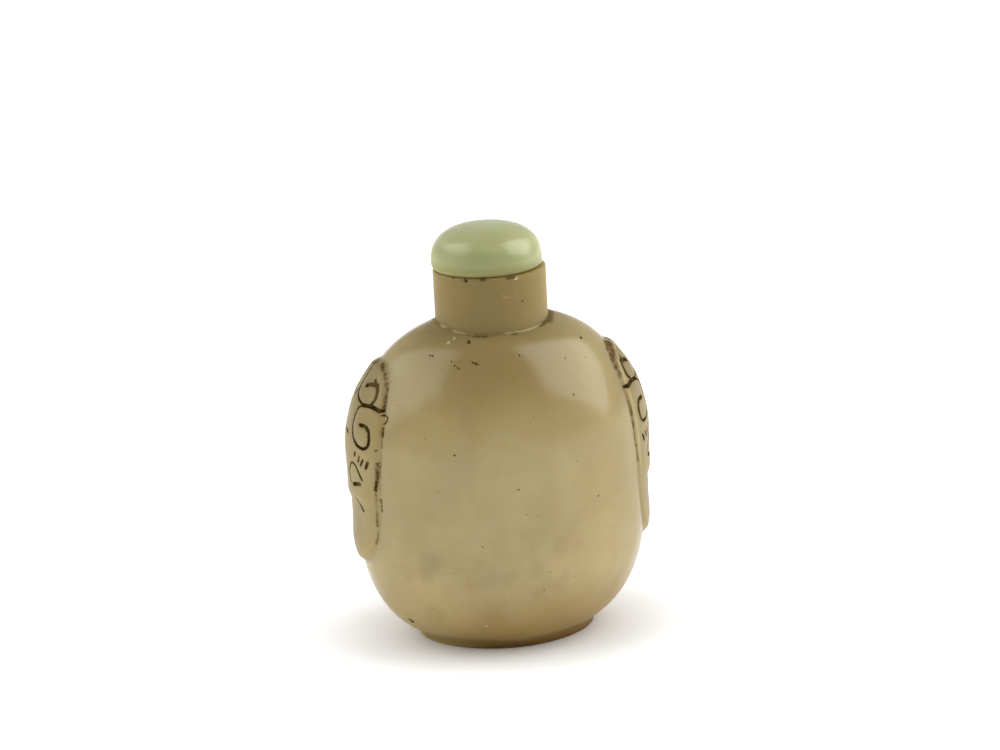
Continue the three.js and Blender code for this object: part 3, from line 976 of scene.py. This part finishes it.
# %% The finished stone
def make_chalcedony():
    stone = Finish("chalcedony", IOR=1.48, **STONE_SCATTER)
    mm = stone.place_mm()
    x, y, z = (stone.axis(mm, name) for name in "XYZ")
    ahead = stone.ease(y, 0, -1)
    front = ragged_front(stone, mm)
    grain = stone.noise(1500, 3, 0.6, stretch=(1, 1, 0.45))
    coarse = stone.noise(600, 2, shift=(0.7, 0.1, 0.2))
    mark_of = {
        name: stone.attribute(name)
        for name in ("cut", "halo", "edge", "flecks", "crease", "ledge_highlight", "stain", "bevel_highlight", "lip")
    }

    # Brown grime along the mask's edge and in the crease under the neck, broken up by grain.
    grime = stone.ease(mark_of["edge"] * (2.4 * grain + 0.8 * coarse - 0.6), 0.2, 0.95)
    creased = stone.ease(mark_of["crease"] * (0.4 + 0.9 * coarse), 0.3, 0.95)
    stain = stone.ease(mark_of["stain"] * (0.4 + 0.8 * coarse), 0.3, 0.8)
    # A painted highlight: a pale band on the ledge under the neck, broken up by noise.
    painted_ledge_highlight = mark_of["ledge_highlight"] * stone.ease(stone.noise(400, 2, shift=(0.1, 0.2, 0.6)), 0.3, 0.55)
    ring_part = bruise(stone, front, z) * ahead * stone.ease(coarse, 0.35, 0.6)
    # Of these layers, the ledge band and the right mask's bevel line are painted highlights.
    layers = [
        (spots(stone, front, CHIPS) * ahead, WEAR_AND_HIGHLIGHTS["chip"]), (painted_ledge_highlight * 0.8, WEAR_AND_HIGHLIGHTS["ledge_highlight"]),
        (mark_of["bevel_highlight"] * 0.5, WEAR_AND_HIGHLIGHTS["edge"]), (mark_of["halo"] * 0.4, DIRT["halo"]),
        (grime * 0.92, DIRT["grime"]), (creased * 0.85, DIRT["crease"]),
        (stain * 0.85, DIRT["stain"]), (ring_part * 0.25, WEAR_AND_HIGHLIGHTS["bruise"]),
    ]
    base = handled_and_shaded_colour(stone, clean_colour(stone, mm, x, y, z), x, y)
    for share_of_layer, colour in layers:
        base = stone.mix(share_of_layer, base, colour)
    stone.give("Base Color", base)
    stone.give("Roughness", 0.15 + 0.08 * stone.noise(300, 3) + 0.12 * stone.attribute("neck"))

    # How matt each part is.
    matt = stone.another_shader(
        Base_Color=base, Roughness=0.7, Specular_IOR_Level=0.1, **STONE_SCATTER
    )
    parts = {"mask": 0.7, "neck": 0.7, "joint": 0.9, "foot": 0.8}
    dull_parts = [stone.attribute(name) * share_of_part for name, share_of_part in parts.items()]
    dullness = stone.greatest(stone.ease(z, 12, 3) * 0.6, *dull_parts, grime, stain)
    body = stone.blend(dullness, stone.first_shader(), matt)

    # Dirt in the strokes, flecks of it along the mask, and specks and pits everywhere else.
    cut = stone.ease(mark_of["cut"] + 0.4 * (grain - 0.5), 0.07, 0.28)
    cut = cut * stone.ease(coarse, 0.3, 0.55, 0.8, 1)
    tufts = stone.noise(4200, 2, 0.65, stretch=(1, 1, 0.7), shift=(0.1, 0.4, 0.2))
    flecks = stone.ease(mark_of["flecks"] * (1.4 * tufts + 0.45 * coarse), 0.7, 0.84) * 0.9
    lip = stone.ease(mark_of["lip"] * stone.noise(520, 3, shift=(0.5, 0.2, 0.3)), 0.62, 0.68)
    cells = {"Vector": stone.place(), "Scale": 420.0}
    specks = stone.ease(stone.node("ShaderNodeTexVoronoi", {}, cells, "Distance"), 0.07, 0.03)
    pits = spots(stone, front, PITS) * ahead
    black = stone.greatest(cut, flecks, lip * 0.65, pits, specks * 0.55)
    soot = stone.mix(stone.ease(coarse, 0.35, 0.65), DIRT["brown"], DIRT["black"])
    dirt = stone.another_shader(Base_Color=soot, Roughness=0.9, Specular_IOR_Level=0.0)
    stone.show(stone.blend(black, body, dirt))

    height = stone.noise(120, 2) + 0.02 * stone.noise(1600, 2) - 0.5 * pits
    relief_of_skin = {"Strength": 0.12, "Distance": 0.0006, "Height": height}
    stone.give("Normal", stone.node("ShaderNodeBump", {}, relief_of_skin, "Normal"))
    print("chalcedony nodes:", len(stone.tree.nodes))
    return stone.material


# %% [markdown]
# ## Jade
#
# The same kind of finish, with less in it: a cloudy pale green that lets light in, duller round
# the rim, where fingers lift the stopper. Painted shade darkens the rim and makes the underside
# browner where it meets the lip, and a painted sheen lightens the crown.

# %% Jade
# The crown's colour is a painted sheen; the rim's and the seat's are painted shade.
JADE = {
    "pale": (0.53, 0.54, 0.28), "deep": (0.47, 0.485, 0.23), "crown": (0.6, 0.61, 0.33),
    "rim": (0.3, 0.31, 0.15), "seat": (0.26, 0.245, 0.07),
}
JADE_SCATTER = {
    "Subsurface_Weight": 1.0, "Subsurface_Radius": (0.9, 1.0, 0.6), "Subsurface_Scale": 0.004,
}


def make_jade():
    jade = Finish("jade", IOR=1.55, **JADE_SCATTER)
    mm = jade.place_mm()
    z = jade.axis(mm, "Z")
    out = jade.vectors("LENGTH", jade.vectors("MULTIPLY", mm, (1, 1, 0)), output="Value")
    cloud = jade.ease(jade.noise(170, 4, 0.55), 0.35, 0.68)
    base = jade.mix(cloud, JADE["pale"], JADE["deep"])
    # A painted sheen: the crown lighter.
    base = jade.mix(jade.ease(z, 61, 63.6) * 0.5, base, JADE["crown"])
    # Painted shade: darker round the rim.
    base = jade.mix(jade.ease(out, 7.4, 8.35) * 0.6, base, JADE["rim"])
    # Painted shade: browner and darker on the underside where it sits on the lip.
    base = jade.mix(jade.ease(z, 59.0, 57.7) * 0.6, base, JADE["seat"])
    jade.give("Base Color", base)
    jade.give("Roughness", 0.16 + 0.1 * jade.noise(300, 3))
    matt = jade.another_shader(
        Base_Color=base, Roughness=0.6, Specular_IOR_Level=0.1, **JADE_SCATTER
    )
    jade.show(jade.blend(jade.ease(out, 7.95, 8.3) * 0.8, jade.first_shader(), matt))
    print("jade nodes:", len(jade.tree.nodes))
    return jade.material


bottle.data.materials.append(make_chalcedony())
stopper.data.materials.append(make_jade())
